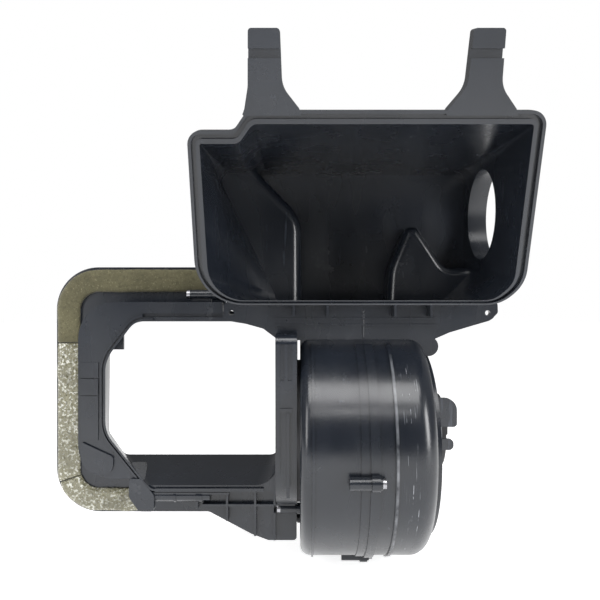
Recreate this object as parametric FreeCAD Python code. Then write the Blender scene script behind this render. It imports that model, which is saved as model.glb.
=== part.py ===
# Blower and filter housing of a vehicle heater, in mm.
# X runs to the right, Y runs away from the open mouth, Z runs up.
# The origin is midway between the two fixing holes, on the front face of the plate.
import FreeCAD
import Part
import math
import os

V = FreeCAD.Vector
X_AXIS, Y_AXIS = V(1, 0, 0), V(0, 1, 0)

# --- driving sizes -------------------------------------------------------
WALL = 2.5
SPLIT_X = 2.4                     # parting plane of the two shells

SCROLL_R = 104.0                  # outside radius of the scroll
SCROLL_Y, SCROLL_Z = 33.6, -122.6
DRUM_LEFT, DRUM_RIGHT = -54.4, 59.8
END_ROUND_L, END_ROUND_R = 9.0, 16.0
THROAT_BACK = 108.0               # outside of the throat's back wall

AXIS_Y, AXIS_Z = 28.0, -112.0     # wheel and motor axis, along X
WHEEL_R = 75.0
WHEEL_LEFT, WHEEL_RIGHT = -44.0, 26.0
BLADES = 36
EYE_R = 58.0                      # clear radius of the inlet eye
MOTOR_HOLE_R = 52.0               # hole in the drum's right end
END_LIP_R = 87.0                  # outside radius of the lip round that end
INLET_HOLE_R = 64.0               # hole in the drum's left end
SHAFT_R = 4.0
RUN_GAP = 0.03                    # radial clearance in the bushes

MOUTH_Y, MOUTH_Z = -36.8, 7.5     # bottom edge of the mouth plane
MOUTH_TILT = math.radians(20.0)   # the mouth's top leans forward
MOUTH_LEFT, MOUTH_RIGHT = -142.4, 136.0
MOUTH_H = 159.3
SHOULDER_H = 144.3                # lower top edge beside the left arm
RIM_DEPTH = 9.0
HOPPER_BACK = 110.0

ARM_L, ARM_R = -81.1, 85.6        # centres of the two hook arms
ARM_W, ARM_TIP, ARM_T = 24.0, 217.3, 12.0
HOOK_LOW, HOOK_HIGH = 196.5, 203.3

PLATE_T = 3.0
FIX_X, FIX_HOLE_R, FIX_BOSS_R = 117.1, 2.4, 6.8

PORT_Y, PORT_Z, PORT_R = 47.6, 96.0, 44.0
PORT_WALL_X, PORT_END_X = 118.0, 143.0

FRAME_FRONT, FRAME_BACK = 8.0, 62.0
FRAME_LEFT = -260.0
FRAME_TOP, FRAME_LOW = 9.9, -165.6
WIN_LEFT, WIN_RIGHT, WIN_TOP = -233.0, -75.0, -8.0
LIP_TOP, BACK_LOW = -161.5, -144.3   # floor height at the frame's front and back
CHAMBER_RIGHT = -57.0

FLANGE_FRONT, FLANGE_T = 55.0, 3.0
FLANGE_LEFT, FLANGE_TOP, FLANGE_LOW = -298.0, 44.6, -200.0
FOAM_T, FOAM_IN = 5.0, 24.0       # foam thickness, and width of its strips

SCREW_HEAD_R, SCREW_HEAD_H = 4.2, 3.0
SCREW_R = 1.9
BOSS_R = 5.2


# --- helpers -------------------------------------------------------------
def box(x0, x1, y0, y1, z0, z1):
    return Part.makeBox(x1 - x0, y1 - y0, z1 - z0, V(x0, y0, z0))


def rod(radius, start, length, axis=X_AXIS):
    return Part.makeCylinder(radius, length, V(*start), axis)


def joined(pieces):
    whole = pieces[0]
    for piece in pieces[1:]:
        whole = whole.fuse(piece)
    return whole


def in_xz(y):
    """Places a (u, v) point in the upright plane at depth y."""
    return lambda u, v: V(u, y, v)


def in_yz(x):
    """Places a (u, v) point in the side plane at x."""
    return lambda u, v: V(x, u, v)


def in_mouth(depth=0.0):
    """Places a point of the mouth plane, at a depth behind that plane."""
    c, s = math.cos(MOUTH_TILT), math.sin(MOUTH_TILT)
    return lambda u, v: V(u, MOUTH_Y - s * v + c * depth, MOUTH_Z + c * v + s * depth)


def rounded(points, place):
    """A closed wire through (u, v, radius) corners: one line and one arc for each."""
    count = len(points)
    starts, mids, ends = [], [], []
    for i, (u, v, r) in enumerate(points):
        here = V(u, v, 0)
        back = V(points[i - 1][0], points[i - 1][1], 0) - here
        ahead = V(points[(i + 1) % count][0], points[(i + 1) % count][1], 0) - here
        back.normalize()
        ahead.normalize()
        half = back.getAngle(ahead) / 2
        reach = r / math.tan(half)
        middle = back + ahead
        middle.normalize()
        starts.append(here + back * reach)
        ends.append(here + ahead * reach)
        mids.append(here + middle * (r / math.sin(half) - r))
    edges = []
    for i in range(count):
        a, m, b = [place(p.x, p.y) for p in (starts[i], mids[i], ends[i])]
        nxt = starts[(i + 1) % count]
        edges.append(Part.Arc(a, m, b).toShape())
        edges.append(Part.LineSegment(b, place(nxt.x, nxt.y)).toShape())
    return Part.Wire(edges)


def slab(points, place, along):
    """A rounded outline swept straight along a vector."""
    return Part.Face(rounded(points, place)).extrude(along)


def mouth_normal():
    """Unit vector from the mouth plane into the hopper."""
    return V(0, math.cos(MOUTH_TILT), math.sin(MOUTH_TILT))


# --- hopper --------------------------------------------------------------
def mouth_outline(inset, low_inset):
    """Corners of the mouth, set in from the rim's outside edge."""
    left, right = MOUTH_LEFT + inset, MOUTH_RIGHT - inset
    low, high = low_inset, MOUTH_H - inset
    shoulder = SHOULDER_H - inset
    cut = 19.0 - inset * 0.4
    return [
        (left, low, 40.0 - inset),
        (right - cut, low, 30.0 - inset),
        (right, low + cut, 30.0 - inset),
        (right, high, 12.0 - inset),
        (-95.0 + inset * 0.4, high, 8.5),
        (-106.0 + inset * 0.4, shoulder, 8.5),
        (left, shoulder, 11.0 - inset),
    ]


def hopper_back(inset):
    """Corners of the hopper's back wall, with the slanting left side."""
    return [
        (-59.0 + inset, 2.0 + inset, 8.0),
        (80.0 - inset * 0.4, 2.0 + inset, 12.0),
        (126.0 - inset, 46.0 + inset * 0.4, 12.0),
        (126.0 - inset, 150.0 - inset, 14.0),
        (-92.0, 150.0 - inset, 5.0),
        (-108.0, 145.0 - inset, 5.0),
        (-146.0 + inset, 145.0 - inset, 12.0),
    ]


def hopper_body(inset, depth):
    front = rounded(mouth_outline(7.0 + inset, 3.0 + inset * 0.8), in_mouth(depth))
    back = rounded(hopper_back(inset), in_xz(HOPPER_BACK - inset))
    return Part.makeLoft([front, back], True, True)


def shoulder_block(outline, front, round_r):
    """A block with a rounded front edge, which the hopper's inside leaves standing."""
    block = slab(outline, in_xz(front), Y_AXIS * (HOPPER_BACK + 10 - front))
    edges = [e for e in block.Edges if e.BoundBox.YMax < front + 0.01]
    return block.makeFillet(round_r, edges)


def left_shoulder_outline(grow):
    """Left of the throat: straight up beside it, then sweeping out to the left."""
    return [
        (-53.0 + grow, -30.0, 2.0), (-53.0 + grow, 96.0 + 0.4 * grow, 40.0),
        (-112.0, 158.0 + 1.4 * grow, 12.0), (-190.0, 158.0 + 1.4 * grow, 2.0), (-190.0, -30.0, 2.0),
    ]


def right_shoulder_outline(grow):
    """Right of the throat: a nose beside it, and a low step under the side port."""
    return [
        (34.0 - grow, -30.0, 2.0), (190.0, -30.0, 2.0), (190.0, 50.0 + grow, 2.0),
        (96.0, 44.0 + grow, 16.0), (60.0, 98.0 + 1.5 * grow, 9.0), (38.0 - grow, 44.0, 50.0),
    ]


SHOULDERS = ((left_shoulder_outline, 62.0, 11.0), (right_shoulder_outline, 72.0, 9.0))


def hopper_space():
    """The hopper's air space, with both shoulders left out of it."""
    space = hopper_body(WALL, -2.0)
    for outline, front, round_r in SHOULDERS:
        space = space.cut(shoulder_block(outline(0.0), front, round_r))
    return space


def shoulder_pockets():
    """Pockets in the hopper's back that keep the shoulders' walls thin."""
    thick = 6.0
    floor, ceiling = 15.5, 142.0
    inside = hopper_body(2 * WALL + 0.6, 4.0)
    pockets = []
    for outline, front, _ in SHOULDERS:
        block = slab(outline(-thick), in_xz(front + thick), Y_AXIS * (HOPPER_BACK - front))
        ahead = block.common(inside).common(box(-200, 200, 60, 105, floor, ceiling))
        back = block.common(slab(hopper_back(2 * WALL), in_xz(102.0), Y_AXIS * 15))
        pockets.append(ahead.fuse(back.common(box(-200, 200, 102, 117, floor, ceiling))))
    return pockets


def rim():
    """The rim with its open groove."""
    ring = slab(mouth_outline(0, 0), in_mouth(), mouth_normal() * RIM_DEPTH)
    lip = slab(mouth_outline(2.6, 1.4), in_mouth(), mouth_normal() * 4.0)
    land = slab(mouth_outline(6.4, 3.4), in_mouth(), mouth_normal() * 4.0)
    return ring.cut(lip.cut(land))


def arm(centre, left_foot, right_foot):
    """A hook arm: a tapering channel with a ledge near its tip, and a foot flared to each side."""
    half = ARM_W / 2
    along = mouth_normal() * ARM_T
    blade = slab([
        (centre - half - left_foot - 2, MOUTH_H - 4, 1.0),
        (centre + half + right_foot + 2, MOUTH_H - 4, 1.0),
        (centre + half + right_foot, MOUTH_H + 1, 2.0),
        (centre + half + 1, MOUTH_H + 17, 20.0),
        (centre + half - 0.3, ARM_TIP, 2.5),
        (centre - half + 0.3, ARM_TIP, 2.5),
        (centre - half - 1, MOUTH_H + 17, 20.0),
        (centre - half - left_foot, MOUTH_H + 1, 2.0),
    ], in_mouth(), along)
    step = slab([
        (centre - half - 2, HOOK_LOW, 0.5),
        (centre + half + 2, HOOK_LOW, 0.5),
        (centre + half + 2, HOOK_HIGH, 0.5),
        (centre - half - 2, HOOK_HIGH, 0.5),
    ], in_mouth(-1), mouth_normal() * 6.0)
    hollow = slab([
        (centre - half + 4, MOUTH_H + 8, 1.5),
        (centre + half - 4, MOUTH_H + 8, 1.5),
        (centre + half - 4, HOOK_LOW - 4, 1.5),
        (centre - half + 4, HOOK_LOW - 4, 1.5),
    ], in_mouth(3), mouth_normal() * ARM_T)
    tip_hollow = slab([
        (centre - half + 3.5, HOOK_HIGH + 4, 1.5),
        (centre + half - 3.5, HOOK_HIGH + 4, 1.5),
        (centre + half - 3.5, ARM_TIP - 3.5, 1.5),
        (centre - half + 3.5, ARM_TIP - 3.5, 1.5),
    ], in_mouth(3), mouth_normal() * ARM_T)
    return blade.cut(step).cut(hollow).cut(tip_hollow)


# --- plate under the mouth -----------------------------------------------
def plate():
    """The fixing plate with its two boss rings."""
    sheet = slab([
        (-124.0, 10.0, 4.0), (-124.5, -6.5, 5.0), (-104.0, -10.0, 6.0), (-88.0, -14.4, 6.0),
        (-74.0, -25.0, 4.0), (66.0, -25.0, 4.0), (82.0, -18.0, 6.0), (119.0, -7.0, 6.0),
        (126.5, 0.0, 4.0), (126.0, 10.0, 3.0),
    ], in_xz(0), Y_AXIS * PLATE_T)
    pieces = [sheet]
    for side in (-1, 1):
        pieces.append(rod(FIX_BOSS_R, (side * FIX_X, 0, 0), PLATE_T + 3, Y_AXIS))
    for height in (-5.0, -11.0):
        pieces.append(box(-78, 70, -1.6, 1, height - 0.8, height + 0.8))
    for x in (-60, -30, 30, 62):
        pieces.append(box(x - 1, x + 1, -18, 1, -3, 9))
    return joined(pieces)


# --- scroll --------------------------------------------------------------
def scroll_profile(inset, x):
    """Side view of scroll and throat: one big arc, then two straight walls."""
    r = SCROLL_R - inset
    front = inset + (0.4 if inset else 0.0)
    back = THROAT_BACK - inset
    top = 12.0
    join = math.sqrt(r * r - (front - SCROLL_Y) ** 2)
    lean = math.radians(12.0)
    meet = V(x, SCROLL_Y + r * math.cos(lean), SCROLL_Z + r * math.sin(lean))
    start = V(x, front, SCROLL_Z + join)
    bottom = V(x, SCROLL_Y, SCROLL_Z - r)
    top_front, top_back = V(x, front, top), V(x, back, top)
    return Part.Wire([
        Part.Arc(start, bottom, meet).toShape(),
        Part.LineSegment(meet, top_back).toShape(),
        Part.LineSegment(top_back, top_front).toShape(),
        Part.LineSegment(top_front, start).toShape(),
    ])


def round_end(solid, x, radius):
    """Rounds the long curved edge of one end of the scroll."""
    edges = []
    for edge in solid.Edges:
        flat = abs(edge.BoundBox.XMin - x) < 0.01 and abs(edge.BoundBox.XMax - x) < 0.01
        if flat and edge.BoundBox.ZMin < SCROLL_Z - SCROLL_R / 2:
            edges.append(edge)
    return solid.makeFillet(radius, edges)


def scroll_outside():
    width = DRUM_RIGHT - DRUM_LEFT
    body = Part.Face(scroll_profile(0, DRUM_LEFT)).extrude(X_AXIS * width)
    body = round_end(body, DRUM_LEFT, END_ROUND_L)
    return round_end(body, DRUM_RIGHT, END_ROUND_R)


def scroll_inside():
    left, right = DRUM_LEFT + WALL, DRUM_RIGHT - WALL
    body = Part.Face(scroll_profile(WALL, left)).extrude(X_AXIS * (right - left))
    body = round_end(body, left, END_ROUND_L - WALL)
    return round_end(body, right, END_ROUND_R - WALL)


def drum_band(x0, x1, height):
    """A raised band round the scroll's curved wall."""
    outer = rod(SCROLL_R + height, (x0, SCROLL_Y, SCROLL_Z), x1 - x0)
    inner = rod(SCROLL_R - 1.0, (x0, SCROLL_Y, SCROLL_Z), x1 - x0)
    keep = box(x0, x1, -SCROLL_R, THROAT_BACK, SCROLL_Z - SCROLL_R - 5, -27)
    return outer.cut(inner).common(keep)


SEAM_SCREWS = [                   # (y, z) of the screws along the seam
    (SCROLL_Y + (SCROLL_R + 4.8) * math.cos(math.radians(a)),
     SCROLL_Z + (SCROLL_R + 4.8) * math.sin(math.radians(a)))
    for a in (186, 266, 330)
]


# --- shells --------------------------------------------------------------
FRAME_SCREWS = [                  # (y, z, x where frame and shell meet) of the frame's screws
    (11.0, -182.0, -57.0),
    (30.0, -197.0, -57.0),
    (20.0, 17.0, -136.0),
]
FRAME_BOSS_LENGTHS = (15.6, 24.0, 22.0)


def shell_posts():
    """Posts on the shells that the filter frame is screwed to."""
    (y1, z1, x1), (y2, z2, x2), (y3, z3, x3) = FRAME_SCREWS
    cone = Part.makeCone(BOSS_R, BOSS_R + 3, 44, V(x3, y3, z3), X_AXIS)
    cone = cone.cut(hopper_body(WALL, -2.0))
    return [
        rod(BOSS_R, (x1, y1, z1), 9.0),
        rod(BOSS_R, (x2, y2, z2), 9.0),
        cone,
    ]


def port_collar():
    start = PORT_WALL_X - 8
    return rod(PORT_R + WALL, (start, PORT_Y, PORT_Z), PORT_END_X - start)


def end_lip():
    """The raised lip round the drum's right end."""
    start, end = DRUM_RIGHT - 2, DRUM_RIGHT + 3.7
    place = (start, SCROLL_Y, SCROLL_Z)
    return rod(END_LIP_R, place, end - start).cut(rod(END_LIP_R - 7.5, place, end - start))


def end_details():
    """A round tab and a pin on the outside of the drum's right end."""
    top = rod(9.0, (63.0, 0.0, -30.5), 10.0, Y_AXIS)
    low = rod(3.0, (50.0, 8.0, -200.0), 14.0)
    return [top, low]


def outside():
    """Everything solid of both shells, before hollowing."""
    pieces = [hopper_body(0.0, 4.0), rim(), arm(ARM_L, 4, 14), arm(ARM_R, 14, 14), plate()]
    pieces += [scroll_outside(), port_collar(), end_lip()]
    pieces.append(drum_band(SPLIT_X, 10.0, 2.2))
    pieces.append(drum_band(-5.0, SPLIT_X, 1.0))
    pieces.append(drum_band(22.5, 25.5, 1.4))
    pieces.append(drum_band(-44.5, -42.5, 1.8))
    for y, z in SEAM_SCREWS:
        pieces.append(rod(BOSS_R + 0.3, (-15.0, y, z), 26.0))
        pieces.append(rod(BOSS_R + 1.6, (SPLIT_X, y, z), 7.0))
    return joined(pieces + end_details())


def hollow():
    """The air space of both shells."""
    return [
        hopper_space(),
        scroll_inside(),
        rod(PORT_R, (PORT_WALL_X - 14, PORT_Y, PORT_Z), PORT_END_X - PORT_WALL_X + 20),
        rod(INLET_HOLE_R, (DRUM_LEFT - 5, AXIS_Y, AXIS_Z), 12),
        rod(MOTOR_HOLE_R, (DRUM_RIGHT - 8, AXIS_Y, AXIS_Z), 16),
    ] + shoulder_pockets()


def shells():
    body = outside()
    for space in hollow():
        body = body.cut(space)
    body = joined([body] + shell_posts())
    for side in (-1, 1):
        body = body.cut(rod(FIX_HOLE_R, (side * FIX_X, -2, 0), 12, Y_AXIS))
    for y, z in SEAM_SCREWS:
        body = body.cut(rod(SCREW_R, (-13.0, y, z), 30))
    for y, z, x in FRAME_SCREWS:
        body = body.cut(rod(SCREW_R, (x - 1, y, z), 9.0))
    for y, z in motor_screw_places():
        body = body.cut(rod(SCREW_R, (DRUM_RIGHT - 10, y, z), 20))
    far = 400.0
    left = body.common(box(-far, SPLIT_X, -far, far, -far, far))
    right = body.common(box(SPLIT_X, far, -far, far, -far, far))
    return left, right


# --- filter frame --------------------------------------------------------
def duct_space():
    """The air space of the frame: its floor is a ramp and its left wall leans out."""
    front = [
        (WIN_LEFT, -110.0, 30.0), (-192.0, LIP_TOP, 8.0), (WIN_RIGHT, LIP_TOP, 22.0),
        (WIN_RIGHT, WIN_TOP, 2.0), (-206.0, WIN_TOP, 18.0), (WIN_LEFT, -44.0, 34.0),
    ]
    back = [
        (WIN_LEFT - 15, -122.0, 10.0), (-232.0, BACK_LOW, 8.0), (WIN_RIGHT, BACK_LOW, 10.0),
        (WIN_RIGHT, WIN_TOP, 2.0), (-222.0, WIN_TOP, 10.0), (WIN_LEFT - 14, -32.0, 12.0),
    ]
    wires = [rounded(front, in_xz(FRAME_FRONT - 6)), rounded(back, in_xz(FRAME_BACK + 1))]
    return Part.makeLoft(wires, True, True)


def band_outline(grow):
    """Corners of the frame's front band."""
    left = FRAME_LEFT - grow
    return [
        (left, FRAME_LOW + 12 - grow, 32.0), (-205.0, FRAME_LOW + 12 - grow, 5.0),
        (-196.0, FRAME_LOW, 5.0), (WIN_RIGHT + 2, FRAME_LOW, 2.0),
        (WIN_RIGHT + 2, -2.0, 1.0), (-126.0, -2.0, 1.0),
        (-126.0, FRAME_TOP + grow, 2.0), (left, FRAME_TOP + grow, 34.0),
    ]


def rib_outline(out):
    """Line of the raised rib round the window's left side, down to the bottom lip."""
    left, low, high = WIN_LEFT - 1 - out, LIP_TOP - 1 - out, WIN_TOP + 1 + out
    bend = 0.45 * out
    return [
        (left, -110.0 - bend, 30.0 + out), (-192.0 - bend, low, 8.0 + out), (-100.0, low, 1.0),
        (-100.0, high, 1.0), (-206.0 - bend, high, 18.0 + out), (left, -44.0 + bend, 34.0 + out),
    ]


def rib(out, rise):
    ring = slab(rib_outline(out), in_xz(FRAME_FRONT - rise), Y_AXIS * (rise + 1))
    ring = ring.cut(slab(rib_outline(out - 1.8), in_xz(FRAME_FRONT - rise - 1), Y_AXIS * (rise + 3)))
    return ring.cut(box(-190, 0, -50, 50, -150, 50)).cut(box(-120, 0, -50, 50, -200, 50))


def band_pads():
    """Stepped pads on the band's left side and in its lower corner."""
    pads = []
    for low, high, rise in ((-60.0, -46.0, 1.0), (-76.0, -61.0, 1.8), (-118.0, -77.0, 1.2)):
        pads.append(box(FRAME_LEFT + 2.5, -241.0, FRAME_FRONT - rise, FRAME_FRONT + 1, low, high))
    pads.append(slab([
        (FRAME_LEFT + 3, -149.5, 18.0), (-227.0, -149.5, 9.0),
        (-227.0, -133.0, 3.0), (FRAME_LEFT + 3, -119.0, 2.0),
    ], in_xz(FRAME_FRONT - 2.4), Y_AXIS * 3.9))
    pads.append(slab([
        (-212.0, -153.0, 3.0), (-201.0, -153.0, 4.0), (-189.0, -168.0, 4.0),
        (-189.0, -183.0, 3.0), (-203.0, -183.0, 6.0), (-212.0, -170.0, 6.0),
    ], in_xz(FRAME_FRONT - 3.4), Y_AXIS * 6.0))
    return pads


def under_bar():
    """The round bar under the bottom lip, with two collars."""
    y, z = FRAME_FRONT + 4, FRAME_LOW - 4.4
    pieces = [rod(5.5, (-190.0, y, z), 52.0)]
    for x, long in ((-171.5, 2.4), (-151.0, 6.0)):
        pieces.append(rod(6.3, (x, y, z), long))
    return joined(pieces)


def chamber_outline(inset):
    """Side view of the inlet chamber, which stays behind and below the plate."""
    return [
        (-38.0 + inset, -176.0 + inset, 50.0 - inset), (92.0 - inset, -176.0 + inset, 50.0 - inset),
        (92.0 - inset, -7.0 - inset, 14.0 - inset), (9.0 + inset, -7.0 - inset, 4.0),
        (9.0 + inset, -26.5 - inset, 2.0), (-3.0 - inset, -26.5 - inset, 2.0),
        (-3.0 - inset, -18.0 - inset, 2.0), (-38.0 + inset, -18.0 - inset, 8.0 - inset),
    ]


def chamber():
    """The flat inlet chamber between frame and scroll, open to the frame's duct."""
    width = CHAMBER_RIGHT - WIN_RIGHT
    outer = slab(chamber_outline(0), in_yz(WIN_RIGHT - 0.5), X_AXIS * (width + 0.5))
    inner = slab(chamber_outline(WALL), in_yz(WIN_RIGHT + WALL), X_AXIS * (width - 2 * WALL))
    eye = rod(INLET_HOLE_R, (CHAMBER_RIGHT - 4, AXIS_Y, AXIS_Z), 8.0)
    for low, high in ((-57.0, -26.0), (-157.0, -84.5)):
        outer = outer.cut(box(-71.5, -61.0, -39.0, -36.8, low, high))
    strips = [
        box(-67.6, -64.8, -38.4, -36.0, -57.0, -26.0),
        box(-71.5, -61.0, -39.2, -37.0, -84.0, -80.5),
        box(-66.0, -63.2, -38.8, -36.0, -157.0, -84.5),
    ]
    return joined([outer] + strips).cut(inner).cut(eye)


def frame_flange():
    """The flange that carries the foam."""
    return slab([
        (FLANGE_LEFT, FLANGE_LOW, 44.0), (-112.0, FLANGE_LOW, 3.0),
        (-112.0, -2.0, 3.0), (-128.0, 2.0, 3.0), (-132.0, FLANGE_TOP, 3.0),
        (FLANGE_LEFT, FLANGE_TOP, 42.0),
    ], in_xz(FLANGE_FRONT), Y_AXIS * FLANGE_T)


def bracket():
    """The ribbed web under the frame that reaches to the scroll."""
    depth = 22.0
    pieces = [slab([
        (-170.0, FRAME_LOW + 2, 2.0), (-164.0, -180.0, 5.0), (-138.5, -186.6, 5.0),
        (-100.0, -207.0, 8.0), (-84.0, -213.0, 6.0), (CHAMBER_RIGHT - 0.5, -213.0, 3.0),
        (CHAMBER_RIGHT - 0.5, FRAME_LOW - 8, 1.0), (WIN_RIGHT, FRAME_LOW + 2, 2.0),
    ], in_xz(FRAME_FRONT + 6), Y_AXIS * WALL)]
    for x, low in ((-150.0, -182.0), (-122.0, -193.0), (-96.0, -207.0), (-78.0, -211.0)):
        pieces.append(box(x - 1, x + 1, FRAME_FRONT, FRAME_FRONT + depth, low, FRAME_LOW + 1))
    pieces.append(box(-145, CHAMBER_RIGHT - 2, FRAME_FRONT, FRAME_FRONT + depth, -179.5, -177.5))
    return pieces


def floor_hollow():
    """The space under the ramp that keeps its wall thin."""
    y0, y1 = FRAME_FRONT + 8, FLANGE_FRONT - 1
    slope = (BACK_LOW - LIP_TOP) / (FRAME_BACK - FRAME_FRONT)
    high0, high1 = LIP_TOP + 6 * slope - WALL, LIP_TOP + (y1 - FRAME_FRONT) * slope - WALL
    x0 = -188.0
    corners = [(y0, FRAME_LOW - 1), (y1, FRAME_LOW - 1), (y1, high1), (y0, high0)]
    points = [V(x0, y, z) for y, z in corners + corners[:1]]
    return Part.Face(Part.makePolygon(points)).extrude(X_AXIS * (-84.0 - x0))


def filter_frame():
    band = slab(band_outline(0), in_xz(FRAME_FRONT), Y_AXIS * 5)
    duct = slab(band_outline(-5.0), in_xz(FRAME_FRONT + 3), Y_AXIS * (FRAME_BACK - FRAME_FRONT - 3))
    lip = box(-188.0, -88.0, FRAME_FRONT - 3, FRAME_FRONT + 1, FRAME_LOW + 0.5, LIP_TOP - 0.5)
    body = joined([band] + band_pads() + [duct, frame_flange(), rib(1.8, 3.0), rib(5.4, 1.6), lip])
    body = body.cut(duct_space()).cut(floor_hollow())
    tab = box(-236.0, -220.2, FRAME_FRONT + 8, FRAME_FRONT + 11, -34.7, -15.0)
    body = joined([body, tab, under_bar(), chamber()] + bracket())
    body = body.cut(box(-200.0, -126.5, FRAME_FRONT - 3, FRAME_FRONT + 2.5, -4.0, -0.6))
    into_chamber = box(WIN_RIGHT - 3, WIN_RIGHT + 4, FRAME_FRONT + 4, FRAME_BACK - 4,
                       BACK_LOW + 18, WIN_TOP - 6)
    body = body.cut(into_chamber)
    for (y, z, x), long in zip(FRAME_SCREWS, FRAME_BOSS_LENGTHS):
        body = body.fuse(rod(BOSS_R - 0.8, (x - long, y, z), long))
        body = body.cut(rod(SCREW_HEAD_R + 0.3, (x - long - 6, y, z), 6.0))
    y, z, x = FRAME_SCREWS[2]
    body = body.fuse(box(x - 20, x - 2, y - 2, y + 2, FRAME_TOP - 7, z))
    for y, z, x in FRAME_SCREWS:
        body = body.cut(rod(SCREW_R + 0.1, (x - 40, y, z), 44.0))
    return body


# --- foam ----------------------------------------------------------------
def foam_ring():
    """The full foam border before it is cut into its pieces."""
    left, top, low = FLANGE_LEFT + 0.8, FLANGE_TOP - 1.6, FLANGE_LOW + 0.8
    outer = slab([
        (left, low, 43.0), (-130.0, low, 2.0), (-138.0, top, 2.0), (left, top, 41.0),
    ], in_xz(FLANGE_FRONT - FOAM_T), Y_AXIS * FOAM_T)
    inner = slab([
        (left + FOAM_IN, low + FOAM_IN, 22.0), (-60.0, low + FOAM_IN, 2.0),
        (-60.0, top - FOAM_IN, 2.0), (left + FOAM_IN, top - FOAM_IN, 20.0),
    ], in_xz(FLANGE_FRONT - FOAM_T - 1), Y_AXIS * (FOAM_T + 2))
    return outer.cut(inner)


def foam_pieces():
    ring = foam_ring()
    seam_high, seam_low, far = -31.0, -170.0, 400.0
    top = ring.common(box(-far, far, -far, far, seam_high, far))
    side = ring.common(box(-far, -200, -far, far, seam_low, seam_high))
    corner = ring.common(box(-far, -216, -far, far, -far, seam_low))
    return top, side, corner


# --- screws --------------------------------------------------------------
def screw(tip_x, y, z, head_x, head_side):
    """A pan-head screw along X; head_side is +1 when its head is at the right."""
    low, high = min(tip_x, head_x), max(tip_x, head_x)
    shank = rod(SCREW_R - 0.05, (low, y, z), high - low)
    start = head_x if head_side > 0 else head_x - SCREW_HEAD_H
    head = rod(SCREW_HEAD_R, (start, y, z), SCREW_HEAD_H)
    slot_x = head_x + head_side * (SCREW_HEAD_H - 0.6)
    across = []
    for w, h in ((1.0, 5.0), (5.0, 1.0)):
        across.append(box(slot_x - 0.7, slot_x + 0.7, y - w / 2, y + w / 2, z - h / 2, z + h / 2))
    return head.fuse(shank).cut(across[0]).cut(across[1])


def shell_screws():
    return Part.makeCompound([screw(-12.0, y, z, 11.0, 1) for y, z in SEAM_SCREWS])


def frame_screws():
    screws = []
    for (y, z, x), long in zip(FRAME_SCREWS, FRAME_BOSS_LENGTHS):
        screws.append(screw(x + 7.5, y, z, x - long, -1))
    return Part.makeCompound(screws)


def motor_screw_places():
    radius = 61.0
    places = []
    for angle in (80, 200, 320):
        a = math.radians(angle)
        places.append((AXIS_Y + radius * math.cos(a), AXIS_Z + radius * math.sin(a)))
    return places


def motor_flange_screws():
    face = DRUM_RIGHT + 3.0
    return Part.makeCompound([screw(face - 9, y, z, face, 1) for y, z in motor_screw_places()])


# --- turned parts --------------------------------------------------------
def on_axis(radius, x0, x1, hole=0.0):
    solid = rod(radius, (x0, AXIS_Y, AXIS_Z), x1 - x0)
    if hole:
        solid = solid.cut(rod(hole, (x0 - 1, AXIS_Y, AXIS_Z), x1 - x0 + 2))
    return solid


def turned(profile):
    """Turns (x, radius) corners about the wheel's axis."""
    points = [V(x, AXIS_Y, AXIS_Z + r) for x, r in profile]
    face = Part.Face(Part.makePolygon(points + [points[0]]))
    return face.revolve(V(0, AXIS_Y, AXIS_Z), X_AXIS, 360)


def inlet_ring():
    """The bellmouth between inlet chamber and wheel."""
    hole = INLET_HOLE_R - 0.1
    lip = hole + 2.4
    return turned([
        (CHAMBER_RIGHT, lip), (CHAMBER_RIGHT, EYE_R + 4), (-54.0, EYE_R + 1), (-50.0, EYE_R), (-46.0, EYE_R),
        (-46.0, EYE_R + 1.8), (-50.0, EYE_R + 2.2), (-51.9, hole), (DRUM_LEFT, hole),
        (DRUM_LEFT, lip),
    ])


def blower_wheel():
    """A cage of curved blades on a dished plate."""
    tip, root = WHEEL_R - 0.5, WHEEL_R - 12.5
    blades = []
    for i in range(BLADES):
        a = math.radians(360.0 / BLADES * i)
        lead = math.radians(9.0)
        points = []
        for radius, turn in ((root, 0.0), ((root + tip) / 2, lead * 0.25), (tip, lead)):
            points.append(V(WHEEL_LEFT + 2, AXIS_Y + radius * math.cos(a + turn),
                            AXIS_Z + radius * math.sin(a + turn)))
        inner = Part.Arc(*points)
        shift = V(0, -math.sin(a), math.cos(a)) * 1.3
        outer = Part.Arc(*[p + shift for p in points])
        wire = Part.Wire([
            inner.toShape(),
            Part.LineSegment(points[2], points[2] + shift).toShape(),
            outer.toShape(),
            Part.LineSegment(points[0] + shift, points[0]).toShape(),
        ])
        blades.append(Part.Face(wire).extrude(X_AXIS * (WHEEL_RIGHT - WHEEL_LEFT - 3)))
    ring = on_axis(WHEEL_R, WHEEL_LEFT, WHEEL_LEFT + 4, WHEEL_R - 9)
    dish = turned([
        (WHEEL_RIGHT, WHEEL_R), (WHEEL_RIGHT - 2.2, WHEEL_R), (WHEEL_RIGHT - 2.2, 44), (6, 16),
        (-12, 12), (-12, SHAFT_R), (12, SHAFT_R), (12, 12), (WHEEL_RIGHT, 42),
    ])
    wheel = dish.fuse(ring)
    for blade in blades:
        wheel = wheel.fuse(blade)
    return wheel


def wheel_clip():
    """Push-on clip that holds the wheel on the shaft's end."""
    clip = on_axis(9.0, -14.0, -12.0, SHAFT_R)
    for i in range(4):
        a = math.radians(45 + 90 * i)
        notch = rod(1.4, (-15, AXIS_Y + 7.4 * math.cos(a), AXIS_Z + 7.4 * math.sin(a)), 5)
        clip = clip.cut(notch)
    return clip


CAN_R, CAN_LEFT, CAN_RIGHT = 34.0, 31.0, 74.0
CAN_WALL = 1.6


def motor_shaft():
    return on_axis(SHAFT_R, -17.0, CAN_RIGHT + 2.0)


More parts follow.
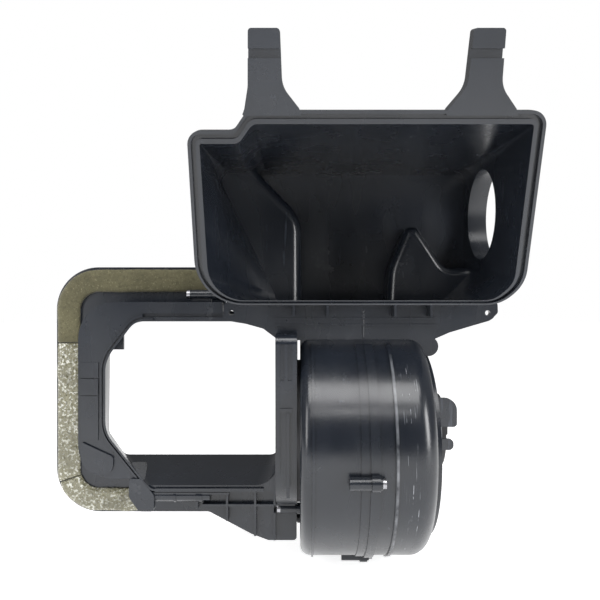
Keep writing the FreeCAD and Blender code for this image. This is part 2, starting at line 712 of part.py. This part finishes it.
def motor_can():
    """Deep-drawn can with a nose for the front bush."""
    inner = CAN_R - CAN_WALL
    can = turned([
        (CAN_LEFT - 6, 10), (CAN_LEFT - 6, 8), (CAN_LEFT + CAN_WALL, 8), (CAN_LEFT + CAN_WALL, inner),
        (CAN_RIGHT, inner), (CAN_RIGHT, CAN_R), (CAN_LEFT, CAN_R), (CAN_LEFT, 10),
    ])
    for i in range(6):
        a = math.radians(60 * i)
        vent = rod(4.5, (CAN_LEFT - 2, AXIS_Y + 21 * math.cos(a), AXIS_Z + 21 * math.sin(a)), 6)
        can = can.cut(vent)
    return can


def motor_end_cap():
    """Cap on the can's open end, with the seat of the rear bush."""
    cap = on_axis(CAN_R, CAN_RIGHT, CAN_RIGHT + 4)
    cap = cap.fuse(on_axis(CAN_R - CAN_WALL, CAN_RIGHT - 1, CAN_RIGHT))
    cap = cap.fuse(on_axis(10.5, CAN_RIGHT - 5, CAN_RIGHT))
    return cap.cut(on_axis(7.5, CAN_RIGHT - 6, CAN_RIGHT + 2.4))


def front_bush():
    return on_axis(8.0, CAN_LEFT - 6, CAN_LEFT + 4, SHAFT_R + RUN_GAP)


def rear_bush():
    return on_axis(7.5, CAN_RIGHT - 5, CAN_RIGHT + 2.0, SHAFT_R + RUN_GAP)


def motor_magnets():
    """Two curved magnets against the can's wall."""
    ring = on_axis(CAN_R - CAN_WALL, CAN_LEFT + 6, CAN_LEFT + 30, CAN_R - CAN_WALL - 4.4)
    gap = box(0, 100, AXIS_Y - 6, AXIS_Y + 6, AXIS_Z - 50, AXIS_Z + 50)
    return Part.makeCompound(ring.cut(gap).Solids)


ARM_CORE_R, SLOTS = 27.0, 12


def armature():
    """Slotted core with its windings bulging from both ends."""
    core = on_axis(ARM_CORE_R, CAN_LEFT + 8, CAN_LEFT + 27, SHAFT_R)
    for i in range(SLOTS):
        a = math.radians(360.0 / SLOTS * i)
        place = (0, AXIS_Y + ARM_CORE_R * math.cos(a), AXIS_Z + ARM_CORE_R * math.sin(a))
        core = core.cut(rod(1.6, place, 100))
    for x0, x1 in ((CAN_LEFT + 5, CAN_LEFT + 8), (CAN_LEFT + 27, CAN_LEFT + 30)):
        core = core.fuse(on_axis(22.0, x0, x1, SHAFT_R + 3))
    return core


def commutator():
    """Copper drum with grooves between its bars."""
    drum = on_axis(10.0, CAN_LEFT + 31, CAN_LEFT + 38, SHAFT_R)
    for i in range(SLOTS):
        a = math.radians(360.0 / SLOTS * (i + 0.5))
        place = (0, AXIS_Y + 10 * math.cos(a), AXIS_Z + 10 * math.sin(a))
        drum = drum.cut(rod(0.5, place, 100))
    return drum


def brush_holder():
    """Ring plate in the can that guides the two brushes."""
    plate_ring = on_axis(CAN_R - CAN_WALL, CAN_LEFT + 38.5, CAN_LEFT + 40.5, 12.0)
    for side in (-1, 1):
        low, high = sorted((AXIS_Z + side * 12.5, AXIS_Z + side * 26))
        guide = box(CAN_LEFT + 32, CAN_LEFT + 38.5, AXIS_Y - 4.2, AXIS_Y + 4.2, low, high)
        space = box(CAN_LEFT + 31, CAN_LEFT + 37.0, AXIS_Y - 2.7, AXIS_Y + 2.7, low - 1, high + 1)
        plate_ring = plate_ring.fuse(guide.cut(space))
    return plate_ring


def brushes():
    """Two carbon blocks against the commutator."""
    blocks = []
    for side in (-1, 1):
        low, high = sorted((AXIS_Z + side * 10.05, AXIS_Z + side * 21))
        blocks.append(box(CAN_LEFT + 32.4, CAN_LEFT + 36.9, AXIS_Y - 2.6, AXIS_Y + 2.6, low, high))
    return Part.makeCompound(blocks)


def isolator_ring():
    """Rubber ring between motor can and motor flange."""
    return turned([
        (DRUM_RIGHT - 4, CAN_R), (DRUM_RIGHT - 4, CAN_R + 6), (DRUM_RIGHT - 1, CAN_R + 6),
        (DRUM_RIGHT - 1, CAN_R + 3.5), (DRUM_RIGHT + 4, CAN_R + 3.5), (DRUM_RIGHT + 4, CAN_R + 6),
        (DRUM_RIGHT + 6, CAN_R + 6), (DRUM_RIGHT + 6, CAN_R),
    ])


def motor_flange():
    """Flange that closes the drum's right end, with two lugs."""
    disc = turned([
        (DRUM_RIGHT, 66.0), (DRUM_RIGHT, MOTOR_HOLE_R - 0.3), (DRUM_RIGHT - 2.5, MOTOR_HOLE_R - 0.3),
        (DRUM_RIGHT - 2.5, MOTOR_HOLE_R - 3), (DRUM_RIGHT - 1, MOTOR_HOLE_R - 3),
        (DRUM_RIGHT - 1, CAN_R + 3.5), (DRUM_RIGHT + 4, CAN_R + 3.5), (DRUM_RIGHT + 4, CAN_R + 7),
        (DRUM_RIGHT + 3, CAN_R + 9), (DRUM_RIGHT + 3, 66.0),
    ])
    upper = slab([
        (61.0, -99.7, 1.0), (83.5, -99.7, 3.0), (83.5, -74.2, 11.0), (61.0, -74.2, 1.0),
    ], in_xz(-22.0), Y_AXIS * 3.0)
    lower = slab([
        (61.0, -120.0, 1.0), (80.5, -120.0, 4.0), (80.5, -110.3, 4.0), (61.0, -110.3, 1.0),
    ], in_xz(-22.0), Y_AXIS * 3.0)
    disc = disc.fuse(upper).fuse(lower)
    for y, z in motor_screw_places():
        disc = disc.cut(rod(SCREW_R + 0.1, (50, y, z), 30))
    return disc


def connector_socket():
    """Two-pole socket on the motor's end cap."""
    y0, z0 = AXIS_Y + 12, AXIS_Z - 8
    face = CAN_RIGHT + 4
    shroud = box(face - 0.0, face + 12, y0, y0 + 14, z0, z0 + 20)
    return shroud.cut(box(face + 2, face + 13, y0 + 1.6, y0 + 12.4, z0 + 1.6, z0 + 18.4))


def terminals():
    """Two blade terminals standing in the socket."""
    face = CAN_RIGHT + 4
    blades = []
    for z in (AXIS_Z - 4.0, AXIS_Z + 5.0):
        blades.append(box(face + 2, face + 10.5, AXIS_Y + 18.6, AXIS_Y + 19.4, z, z + 4))
    return Part.makeCompound(blades)


def build():
    left, right = shells()
    foam_top, foam_side, foam_corner = foam_pieces()
    return {
        "left_shell": left,
        "right_shell": right,
        "filter_frame": filter_frame(),
        "foam_top": foam_top,
        "foam_side": foam_side,
        "foam_corner": foam_corner,
        "shell_screws": shell_screws(),
        "frame_screws": frame_screws(),
        "inlet_ring": inlet_ring(),
        "blower_wheel": blower_wheel(),
        "wheel_clip": wheel_clip(),
        "motor_shaft": motor_shaft(),
        "motor_can": motor_can(),
        "motor_end_cap": motor_end_cap(),
        "front_bush": front_bush(),
        "rear_bush": rear_bush(),
        "motor_magnets": motor_magnets(),
        "armature": armature(),
        "commutator": commutator(),
        "brush_holder": brush_holder(),
        "brushes": brushes(),
        "isolator_ring": isolator_ring(),
        "motor_flange": motor_flange(),
        "motor_flange_screws": motor_flange_screws(),
        "connector_socket": connector_socket(),
        "terminals": terminals(),
    }


os.makedirs("parts", exist_ok=True)
for name, shape in build().items():
    shape.exportStep("parts/" + name + ".step")
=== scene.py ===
# Looks of the blower and filter housing. Lengths are in metres, in the row frame.
import math

import bpy
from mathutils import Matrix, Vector, noise as fractal


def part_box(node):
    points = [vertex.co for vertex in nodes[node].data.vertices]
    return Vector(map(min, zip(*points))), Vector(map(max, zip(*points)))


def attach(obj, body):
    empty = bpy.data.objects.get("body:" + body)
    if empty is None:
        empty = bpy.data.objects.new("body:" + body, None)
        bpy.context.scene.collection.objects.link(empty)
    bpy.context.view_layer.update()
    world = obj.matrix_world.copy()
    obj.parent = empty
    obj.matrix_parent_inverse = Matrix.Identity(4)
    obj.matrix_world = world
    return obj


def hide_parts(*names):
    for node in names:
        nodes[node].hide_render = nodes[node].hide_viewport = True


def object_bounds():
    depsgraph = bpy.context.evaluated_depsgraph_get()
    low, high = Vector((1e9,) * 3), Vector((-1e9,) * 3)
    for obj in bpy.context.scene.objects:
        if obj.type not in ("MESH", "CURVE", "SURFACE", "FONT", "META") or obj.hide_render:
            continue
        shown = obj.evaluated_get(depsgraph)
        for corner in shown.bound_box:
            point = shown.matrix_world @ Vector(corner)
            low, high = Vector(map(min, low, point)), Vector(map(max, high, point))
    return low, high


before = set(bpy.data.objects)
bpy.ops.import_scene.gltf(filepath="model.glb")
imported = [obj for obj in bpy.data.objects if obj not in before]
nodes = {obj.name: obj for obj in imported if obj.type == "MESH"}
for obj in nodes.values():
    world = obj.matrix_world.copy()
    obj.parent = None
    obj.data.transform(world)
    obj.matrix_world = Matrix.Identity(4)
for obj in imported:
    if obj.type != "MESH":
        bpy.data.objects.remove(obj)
cad_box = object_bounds()
HOUSING = "housing"


# --- materials -----------------------------------------------------------
def new_material(name):
    """An empty Principled material, with its node tree, shader and object coordinates."""
    mat = bpy.data.materials.new(name)
    mat.use_nodes = True
    tree = mat.node_tree
    shader = tree.nodes["Principled BSDF"]
    coords = tree.nodes.new("ShaderNodeTexCoord")
    return mat, tree, shader, coords.outputs["Object"]


def noise(tree, place, scale, detail=3.0, rough=0.5, stretch=None):
    """Noise, with the pattern stretched by one factor for each axis."""
    if stretch:
        mapping = tree.nodes.new("ShaderNodeMapping")
        mapping.inputs["Scale"].default_value = stretch
        tree.links.new(place, mapping.inputs["Vector"])
        place = mapping.outputs["Vector"]
    node = tree.nodes.new("ShaderNodeTexNoise")
    node.inputs["Scale"].default_value = scale
    node.inputs["Detail"].default_value = detail
    node.inputs["Roughness"].default_value = rough
    tree.links.new(place, node.inputs["Vector"])
    return node.outputs["Fac"]


def ramp(tree, value, stops):
    """A colour ramp; each stop is (position, grey or colour)."""
    node = tree.nodes.new("ShaderNodeValToRGB")
    elements = node.color_ramp.elements
    while len(elements) < len(stops):
        elements.new(0.5)
    for element, (position, colour) in zip(elements, stops):
        element.position = position
        if isinstance(colour, (int, float)):
            colour = (colour, colour, colour)
        element.color = (*colour, 1.0)
    tree.links.new(value, node.inputs["Fac"])
    return node.outputs["Color"]


def mixed(tree, amount, first, second):
    """Colour mix; first and second are sockets or colours."""
    node = tree.nodes.new("ShaderNodeMix")
    node.data_type = "RGBA"
    for socket, value in ((node.inputs[6], first), (node.inputs[7], second)):
        if hasattr(value, "links"):
            tree.links.new(value, socket)
        else:
            socket.default_value = (*value, 1.0)
    tree.links.new(amount, node.inputs[0])
    return node.outputs[2]


def bump(tree, height, strength, distance, under=None):
    """Bumped normal from a height, laid over the normal under it if there is one."""
    node = tree.nodes.new("ShaderNodeBump")
    node.inputs["Strength"].default_value = strength
    node.inputs["Distance"].default_value = distance
    tree.links.new(height, node.inputs["Height"])
    if under:
        tree.links.new(under, node.inputs["Normal"])
    return node.outputs["Normal"]


def times(tree, first, second):
    """Product of two values; each is a socket or a number."""
    node = tree.nodes.new("ShaderNodeMath")
    node.operation = "MULTIPLY"
    for socket, value in zip(node.inputs, (first, second)):
        if hasattr(value, "links"):
            tree.links.new(value, socket)
        else:
            socket.default_value = value
    return node.outputs["Value"]


def in_band(tree, value, low, high, soft):
    """1 where the value lies between low and high, with soft edges."""
    total = None
    for start, end in ((low - soft, low + soft), (high + soft, high - soft)):
        node = tree.nodes.new("ShaderNodeMapRange")
        node.interpolation_type = "SMOOTHSTEP"
        node.inputs["From Min"].default_value = start
        node.inputs["From Max"].default_value = end
        tree.links.new(value, node.inputs["Value"])
        edge = node.outputs["Result"]
        total = edge if total is None else times(tree, total, edge)
    return total


def drum_scratches(tree, place):
    """Pale scratches round the drum's front, right of the seam, and wear along one ridge."""
    parts = tree.nodes.new("ShaderNodeSeparateXYZ")
    tree.links.new(place, parts.inputs["Vector"])
    right = in_band(tree, parts.outputs["X"], 0.032, 0.043, 0.004)
    front = in_band(tree, parts.outputs["Y"], -0.08, -0.03, 0.01)
    lines = noise(tree, place, 1100.0, 2.0, 0.5, (1.0, 0.012, 0.012))
    broken = noise(tree, place, 70.0, 3.0, 0.6)
    thin = ramp(tree, lines, [(0.62, 0.0), (0.67, 1.0)])
    patchy = ramp(tree, broken, [(0.53, 0.0), (0.60, 1.0)])
    marks = times(tree, times(tree, right, front), times(tree, thin, patchy))
    ridge = in_band(tree, parts.outputs["X"], 0.0232, 0.0252, 0.0006)
    below = in_band(tree, parts.outputs["Z"], -0.20, -0.03, 0.01)
    worn = ramp(tree, broken, [(0.35, 0.0), (0.68, 0.5)])
    rub = times(tree, times(tree, ridge, front), times(tree, below, worn))
    node = tree.nodes.new("ShaderNodeMath")
    node.operation = "MAXIMUM"
    tree.links.new(marks, node.inputs[0])
    tree.links.new(rub, node.inputs[1])
    return node.outputs["Value"]


def moulded_black(name, dark, light, rough_low, rough_high, scratched=False):
    """Injection-moulded black plastic: fine grain, flow marks, dust and light scuffs."""
    mat, tree, shader, place = new_material(name)
    clouds = noise(tree, place, 9.0, 5.0, 0.6)
    flow = noise(tree, place, 26.0, 3.0, 0.5, (1.0, 1.0, 0.35))
    scuffs = noise(tree, place, 60.0, 4.0, 0.7, (1.0, 1.0, 0.12))
    smears = noise(tree, place, 17.0, 6.0, 0.75)
    grain = noise(tree, place, 1400.0, 2.0)
    pale = tuple(min(1.0, c * 3.0 + 0.02) for c in light)
    base = mixed(tree, ramp(tree, clouds, [(0.35, 0.0), (0.7, 1.0)]), dark, light)
    base = mixed(tree, ramp(tree, scuffs, [(0.68, 0.0), (0.75, 0.6)]), base, pale)
    dust = ramp(tree, smears, [(0.62, 0.0), (0.74, 0.35)])
    base = mixed(tree, dust, base, (0.07, 0.075, 0.08))
    if scratched:
        base = mixed(tree, drum_scratches(tree, place), base, (0.26, 0.27, 0.29))
    tree.links.new(base, shader.inputs["Base Color"])
    rough = ramp(tree, flow, [(0.3, rough_low), (0.72, rough_high)])
    rough = mixed(tree, dust, rough, (0.6, 0.6, 0.6))
    tree.links.new(rough, shader.inputs["Roughness"])
    fine = bump(tree, grain, 0.12, 0.0002)
    wave = bump(tree, flow, 0.18, 0.0015, fine)
    tree.links.new(bump(tree, clouds, 0.12, 0.002, wave), shader.inputs["Normal"])
    return mat


def metal(name, colour, rough, streak=(1.0, 1.0, 1.0)):
    """Worked metal with fine streaks and slight staining."""
    mat, tree, shader, place = new_material(name)
    shader.inputs["Metallic"].default_value = 1.0
    lines = noise(tree, place, 500.0, 3.0, 0.6, streak)
    stain = noise(tree, place, 40.0, 4.0)
    darker = tuple(c * 0.6 for c in colour)
    tree.links.new(mixed(tree, ramp(tree, stain, [(0.4, 0.0), (0.7, 1.0)]), colour, darker),
                   shader.inputs["Base Color"])
    tree.links.new(ramp(tree, lines, [(0.3, rough * 0.7), (0.7, rough * 1.3)]), shader.inputs["Roughness"])
    tree.links.new(bump(tree, lines, 0.15, 0.0002), shader.inputs["Normal"])
    return mat


def felt(name):
    """Matte olive foam with a short nap and a faint pale fleck."""
    mat, tree, shader, place = new_material(name)
    cells = noise(tree, place, 900.0, 4.0, 0.7)
    patches = noise(tree, place, 35.0, 4.0, 0.6)
    flecks = noise(tree, place, 480.0, 2.0, 0.8)
    patchy = ramp(tree, patches, [(0.3, 0.0), (0.7, 1.0)])
    base = mixed(tree, patchy, (0.060, 0.054, 0.024), (0.105, 0.096, 0.048))
    base = mixed(tree, ramp(tree, flecks, [(0.58, 0.0), (0.70, 0.5)]), base, (0.22, 0.20, 0.12))
    grain = noise(tree, place, 330.0, 5.0, 0.75)
    base = mixed(tree, ramp(tree, grain, [(0.52, 0.0), (0.64, 0.75)]), base, (0.040, 0.036, 0.015))
    tree.links.new(base, shader.inputs["Base Color"])
    tree.links.new(ramp(tree, cells, [(0.3, 0.75), (0.7, 0.95)]), shader.inputs["Roughness"])
    shader.inputs["Sheen Weight"].default_value = 0.25
    nap = bump(tree, cells, 0.7, 0.0008)
    tree.links.new(bump(tree, patches, 0.3, 0.002, nap), shader.inputs["Normal"])
    return mat


def crinkled_skin(name):
    """Glossy olive film over foam; its crinkle crests are glossier, and painted pale as glints."""
    mat, tree, shader, place = new_material(name)
    facets = tree.nodes.new("ShaderNodeTexVoronoi")
    facets.inputs["Scale"].default_value = 260.0
    tree.links.new(place, facets.inputs["Vector"])
    fine = noise(tree, place, 420.0, 3.0, 0.6)
    patches = noise(tree, place, 45.0, 3.0, 0.6)
    patchy = ramp(tree, patches, [(0.3, 0.0), (0.7, 1.0)])
    base = mixed(tree, patchy, (0.115, 0.107, 0.058), (0.21, 0.20, 0.125))
    # pale crests on the crinkles: painted glints standing in for the film's sparkle
    painted_glints = times(tree, ramp(tree, fine, [(0.53, 0.0), (0.61, 1.0)]),
                    ramp(tree, patches, [(0.36, 0.35), (0.6, 1.0)]))
    base = mixed(tree, painted_glints, base, (0.62, 0.62, 0.55))
    tree.links.new(base, shader.inputs["Base Color"])
    tree.links.new(ramp(tree, fine, [(0.3, 0.30), (0.6, 0.12)]), shader.inputs["Roughness"])
    shader.inputs["Coat Weight"].default_value = 0.8
    shader.inputs["Coat Roughness"].default_value = 0.08
    low = bump(tree, facets.outputs["Distance"], 1.0, 0.0020)
    tree.links.new(bump(tree, fine, 1.0, 0.0020, low), shader.inputs["Normal"])
    return mat


BLACK = moulded_black("black_moulding", (0.0074, 0.0092, 0.0130), (0.0124, 0.0152, 0.0210),
                      0.19, 0.34, scratched=True)
WHEEL = moulded_black("wheel_black", (0.012, 0.012, 0.014), (0.020, 0.020, 0.023), 0.45, 0.6)
RUBBER = moulded_black("black_rubber", (0.010, 0.010, 0.010), (0.020, 0.020, 0.019), 0.6, 0.8)
CARBON = moulded_black("carbon_block", (0.018, 0.018, 0.019), (0.035, 0.035, 0.037), 0.5, 0.7)
FELT = felt("foam_felt")
SKIN = crinkled_skin("foam_skin")
SCREW = metal("dark_screw", (0.34, 0.34, 0.36), 0.30)
ZINC = metal("zinc", (0.62, 0.63, 0.66), 0.35)
STEEL = metal("ground_steel", (0.62, 0.62, 0.64), 0.25, (0.05, 1.0, 1.0))
BRONZE = metal("bronze", (0.55, 0.38, 0.20), 0.4)
COPPER = metal("copper", (0.75, 0.38, 0.22), 0.28, (1.0, 0.05, 0.05))
TIN = metal("tin", (0.75, 0.74, 0.70), 0.3)
MAGNET = metal("magnet", (0.12, 0.12, 0.13), 0.55)

FINISHES = {
    "left_shell": BLACK, "right_shell": BLACK, "filter_frame": BLACK, "motor_flange": BLACK,
    "shell_screws": SCREW, "frame_screws": SCREW, "motor_flange_screws": SCREW,
    "inlet_ring": WHEEL, "blower_wheel": WHEEL, "motor_end_cap": WHEEL, "brush_holder": WHEEL,
    "connector_socket": WHEEL, "brushes": CARBON, "isolator_ring": RUBBER,
    "wheel_clip": ZINC, "motor_can": ZINC, "motor_shaft": STEEL, "armature": STEEL,
    "front_bush": BRONZE, "rear_bush": BRONZE, "commutator": COPPER, "terminals": TIN,
    "motor_magnets": MAGNET,
}
for name, finish in FINISHES.items():
    for slot in nodes[name].material_slots:
        slot.material = finish


# --- foam border ----------------------------------------------------------
FOAM_BOX = [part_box(n) for n in ("foam_top", "foam_side", "foam_corner")]
FOAM_LEFT = min(b[0][0] for b in FOAM_BOX)
FOAM_LOW = min(b[0][2] for b in FOAM_BOX)
FOAM_TOP = max(b[1][2] for b in FOAM_BOX)
FOAM_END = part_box("foam_top")[1][0]
FOAM_FRONT, FOAM_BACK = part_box("foam_top")[0][1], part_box("foam_top")[1][1]
FOAM_W = 0.024
TURN_R = 0.030                       # centre-line radius of the border's corners
FOAM_STEP, FOAM_ACROSS = 0.0012, 22  # mesh step along the strip, and cells across it
FOAM_INSET = 0.0008                  # the strip's edge, in from the flange's edge
END_ROUND, END_SAG = 0.0025, 0.0012  # length and depth of the rounding at each end
EDGE_RAGGED = 0.0006                 # unevenness of the long edges
CROWN = 0.0016                       # how far the front falls away at the edges
FOAM_GAP = 0.0004                    # half of the gap between two strips
FELT_CRINKLE, SKIN_CRINKLE = 0.00015, 0.0009


def foam_line(s):
    """Point and leftward normal (both in XZ) at distance s along the border's centre line."""
    half = FOAM_W / 2
    left, top, low = FOAM_LEFT + half, FOAM_TOP - half, FOAM_LOW + half
    first = FOAM_END - (left + TURN_R)
    arc = TURN_R * math.pi / 2
    drop = (top - low) - 2 * TURN_R
    if s < first:
        return Vector((FOAM_END - s, 0, top)), Vector((0, 0, 1))
    s -= first
    if s < arc:
        a = math.pi / 2 + s / TURN_R
        out = Vector((math.cos(a), 0, math.sin(a)))
        return Vector((left + TURN_R, 0, top - TURN_R)) + out * TURN_R, out
    s -= arc
    if s < drop:
        return Vector((left, 0, top - TURN_R - s)), Vector((-1, 0, 0))
    s -= drop
    if s < arc:
        a = math.pi + s / TURN_R
        out = Vector((math.cos(a), 0, math.sin(a)))
        return Vector((left + TURN_R, 0, low + TURN_R)) + out * TURN_R, out
    return Vector((left + TURN_R + s - arc, 0, low)), Vector((0, 0, -1))


def foam_strip(name, start, end, crinkle, material, node):
    """One soft strip: crowned front, soft uneven edges, crinkles of the given height."""
    across = FOAM_ACROSS
    count = int((end - start) / FOAM_STEP)
    points, faces = [], []
    for i in range(count + 1):
        s = start + (end - start) * i / count
        near_end = min(s - start, end - s) / END_ROUND
        sag = END_SAG * max(0.0, 1.0 - near_end) ** 2
        centre, out = foam_line(s)
        for j in range(across + 1):
            t = -1 + 2 * j / across
            edge = EDGE_RAGGED * fractal.noise(Vector((s * 90, t * 0.5 + 3, crinkle * 1000)))
            at = centre + out * (t * (FOAM_W / 2 - FOAM_INSET) + edge)
            crown = CROWN * abs(t) ** 6 + sag
            place = Vector((at.x * 170, 0, at.z * 170))
            ridge = 0.5 - abs(fractal.noise(place)) + 0.5 * fractal.noise(place * 2.7)
            wobble = 0.0005 * fractal.noise(place * 0.16)
            depth = 0.0007 + crown + wobble + crinkle * (1 - ridge)
            points.append((at.x, FOAM_FRONT + max(0.0002, depth), at.z))
        for t in (1, -1):
            at = centre + out * t * (FOAM_W / 2 - FOAM_INSET)
            points.append((at.x, FOAM_BACK - 0.0001, at.z))
    ring = across + 3
    for i in range(count):
        for j in range(ring):
            a, b = i * ring + j, i * ring + (j + 1) % ring
            faces.append((a, b, b + ring, a + ring))
    faces.append(tuple(range(ring))[::-1])
    faces.append(tuple(count * ring + j for j in range(ring)))
    mesh = bpy.data.meshes.new(name)
    mesh.from_pydata(points, [], faces)
    mesh.shade_smooth()
    mesh.materials.append(material)
    piece = bpy.data.objects.new(name, mesh)
    bpy.context.collection.objects.link(piece)
    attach(piece, HOUSING)
    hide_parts(node)


def add_foam():
    """The three strips, end to end along the border: felt on top, then two of skin."""
    first = FOAM_END - (FOAM_LEFT + FOAM_W / 2 + TURN_R)
    arc = TURN_R * math.pi / 2
    to_straight = first + arc
    upper_seam = to_straight + (FOAM_TOP - FOAM_W / 2 - TURN_R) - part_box("foam_side")[1][2]
    drop = (FOAM_TOP - FOAM_LOW - FOAM_W) - 2 * TURN_R
    lower_seam = to_straight + drop + 0.2 * arc
    corner_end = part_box("foam_corner")[1][0]
    last = to_straight + drop + arc + corner_end - (FOAM_LEFT + FOAM_W / 2 + TURN_R)
    foam_strip("foam_top_soft", 0.0, upper_seam - FOAM_GAP, FELT_CRINKLE,
               FELT, "foam_top")
    foam_strip("foam_side_soft", upper_seam + FOAM_GAP, lower_seam - FOAM_GAP, SKIN_CRINKLE,
               SKIN, "foam_side")
    foam_strip("foam_corner_soft", lower_seam + FOAM_GAP, last, SKIN_CRINKLE,
               SKIN, "foam_corner")


add_foam()


# --- seam bead ------------------------------------------------------------
SEAM_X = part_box("right_shell")[0][0]
BEAD_W, BEAD_H = 0.0022, 0.0011
BEAD_TOP, BEAD_LOW = 0.0035, -0.0240


def add_seam_bead():
    """The raised bead of the moulding line, down the plate between rim and drum."""
    x, rows, turns = SEAM_X + BEAD_W / 2, 30, 12
    points, faces = [], []
    for i in range(rows + 1):
        z = BEAD_TOP + (BEAD_LOW - BEAD_TOP) * i / rows
        end = min(i, rows - i) / rows
        rise = BEAD_H * min(1.0, end * 12) ** 0.5
        for j in range(turns + 1):
            angle = math.pi * j / turns
            points.append((x - math.cos(angle) * BEAD_W / 2, 0.0003 - math.sin(angle) * rise, z))
    ring = turns + 1
    for i in range(rows):
        for j in range(ring):
            a, b = i * ring + j, i * ring + (j + 1) % ring
            faces.append((a, a + ring, b + ring, b))
    faces.append(tuple(range(ring)))
    faces.append(tuple(rows * ring + j for j in range(ring))[::-1])
    mesh = bpy.data.meshes.new("seam_bead")
    mesh.from_pydata(points, [], faces)
    mesh.shade_smooth()
    mesh.materials.append(BLACK)
    piece = bpy.data.objects.new("seam_bead", mesh)
    bpy.context.collection.objects.link(piece)
    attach(piece, HOUSING)


add_seam_bead()


# --- camera, light and floor ---------------------------------------------
CAMERA_PLACE = (-0.0544, -0.5664, 0.0118)
FOCAL_MM, SENSOR_MM = 37.2, 36.0
ROOM_FRONT, ROOM_AROUND = 0.05, 0.27   # strength of the world's light on the object
FLOOR_HALF, FLOOR_DROP, FLOOR_GLOW = 6, 0.0005, 0.80


def add_camera():
    """A level camera that looks straight along +Y."""
    data = bpy.data.cameras.new("camera")
    data.lens = FOCAL_MM
    data.sensor_width = SENSOR_MM
    camera = bpy.data.objects.new("camera", data)
    camera.location = CAMERA_PLACE
    camera.rotation_euler = (math.radians(90), 0, 0)
    bpy.context.collection.objects.link(camera)
    bpy.context.scene.camera = camera


def soft_light(name, place, aim, size, watts):
    """A rectangular area light at place, turned to face aim."""
    data = bpy.data.lights.new(name, "AREA")
    data.shape = "RECTANGLE"
    data.size, data.size_y = size
    data.energy = watts
    light = bpy.data.objects.new(name, data)
    light.location = place
    light.rotation_euler = (Vector(aim) - Vector(place)).to_track_quat("-Z", "Y").to_euler()
    bpy.context.collection.objects.link(light)


def add_world():
    """White backdrop; what lights the object is dim in front and brighter all round."""
    world = bpy.data.worlds.new("studio")
    bpy.context.scene.world = world
    world.use_nodes = True
    tree = world.node_tree
    background = tree.nodes["Background"]
    background.inputs["Color"].default_value = (1, 1, 1, 1)
    way = tree.nodes.new("ShaderNodeTexCoord")
    parts = tree.nodes.new("ShaderNodeSeparateXYZ")
    tree.links.new(way.outputs["Generated"], parts.inputs["Vector"])
    room = tree.nodes.new("ShaderNodeMapRange")
    room.interpolation_type = "SMOOTHSTEP"
    room.inputs["From Min"].default_value = -0.98
    room.inputs["From Max"].default_value = -0.55
    room.inputs["To Min"].default_value = ROOM_FRONT
    room.inputs["To Max"].default_value = ROOM_AROUND
    tree.links.new(parts.outputs["Y"], room.inputs["Value"])
    rays = tree.nodes.new("ShaderNodeLightPath")
    level = tree.nodes.new("ShaderNodeMapRange")
    level.inputs["To Max"].default_value = 1.0
    tree.links.new(rays.outputs["Is Camera Ray"], level.inputs["Value"])
    tree.links.new(room.outputs["Result"], level.inputs["To Min"])
    tree.links.new(level.outputs["Result"], background.inputs["Strength"])


def add_floor():
    """A pale floor just under the part; its own light hides the horizon."""
    mesh = bpy.data.meshes.new("floor")
    z = cad_box[0][2] - FLOOR_DROP
    h = FLOOR_HALF
    mesh.from_pydata([(-h, -h, z), (h, -h, z), (h, h, z), (-h, h, z)], [], [(0, 1, 2, 3)])
    floor = bpy.data.objects.new("floor", mesh)
    bpy.context.collection.objects.link(floor)
    mat, tree, shader, place = new_material("floor_white")
    shader.inputs["Roughness"].default_value = 0.8
    grain = noise(tree, place, 300.0)
    tree.links.new(ramp(tree, grain, [(0.3, 0.93), (0.7, 0.97)]), shader.inputs["Base Color"])
    shader.inputs["Emission Color"].default_value = (1, 1, 1, 1)
    shader.inputs["Emission Strength"].default_value = FLOOR_GLOW
    floor.data.materials.append(mat)


add_camera()
add_world()
add_floor()
soft_light("overhead", (-0.05, -0.95, 1.45), (0.0, 0.0, -0.05), (1.5, 0.7), 24)
soft_light("strip", (-0.02, -1.05, 0.72), (0.0, 0.0, -0.05), (0.6, 0.08), 1.7)
soft_light("left", (-0.95, -0.85, 0.35), (0.1, 0.0, 0.05), (0.40, 0.8), 7)
soft_light("right", (1.0, -0.80, 0.3), (-0.12, 0.0, 0.07), (0.40, 0.8), 13)
bpy.context.scene.view_settings.view_transform = "Standard"
